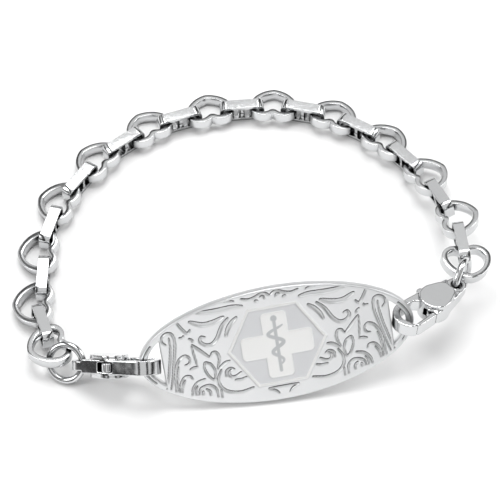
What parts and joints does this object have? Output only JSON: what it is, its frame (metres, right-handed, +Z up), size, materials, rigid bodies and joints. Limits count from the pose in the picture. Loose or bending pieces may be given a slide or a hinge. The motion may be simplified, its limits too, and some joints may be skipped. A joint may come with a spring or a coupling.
{
  "type": "medical alert bracelet",
  "caption": "Bracelet with an oval engraved identification tag, held by lobster clasps at each end to a chain of open heart links and small flat band links.",
  "frame": {"origin": "middle of the bounding box, on the surface that the bracelet lies on", "axes": "+Z up from the surface; +X to the right in the picture, along the longest extent; +Y away from the viewer, from the tag across the wrist opening to the back of the chain"},
  "size_m": [0.0741, 0.0594, 0.0166],
  "materials": {
    "satin_steel": "satin with an engraved face",
    "polished_steel": "polished",
    "lever_steel": "polished"
  },
  "bodies": {
    "bracelet": {"tag": "satin_steel", "heart_00": "polished_steel", "heart_01": "polished_steel", "heart_02": "polished_steel", "heart_03": "polished_steel", "heart_04": "polished_steel", "heart_05": "polished_steel", "heart_06": "polished_steel", "heart_07": "polished_steel", "heart_08": "polished_steel", "heart_09": "polished_steel", "heart_10": "polished_steel", "heart_11": "polished_steel", "heart_12": "polished_steel", "band_01": "polished_steel", "band_02": "polished_steel", "band_03": "polished_steel", "band_04": "polished_steel", "band_05": "polished_steel", "band_06": "polished_steel", "band_07": "polished_steel", "band_08": "polished_steel", "band_09": "polished_steel", "band_10": "polished_steel", "band_11": "polished_steel", "band_12": "polished_steel", "ring_left": "polished_steel", "ring_right": "polished_steel", "clasp_left": "polished_steel", "clasp_right": "polished_steel"},
    "left_lever": {"lever_left": "lever_steel"},
    "right_lever": {"lever_right": "lever_steel"}
  },
  "joints": [
    {"name": "left_lever_hinge", "type": "hinge", "parent": "bracelet", "child": "left_lever", "pos_m": [-0.02052, -0.02512, 0.0043], "axis": [0.0181, -0.7962, -0.6047], "range_deg": [0, 6.5], "stiffness_Nm_per_rad": 0.01, "springref_deg": -20.05},
    {"name": "right_lever_hinge", "type": "hinge", "parent": "bracelet", "child": "right_lever", "pos_m": [0.02693, -0.01717, 0.00823], "axis": [-0.0815, -0.1873, -0.9789], "range_deg": [0, 6.5], "stiffness_Nm_per_rad": 0.01, "springref_deg": -20.05}
  ]
}
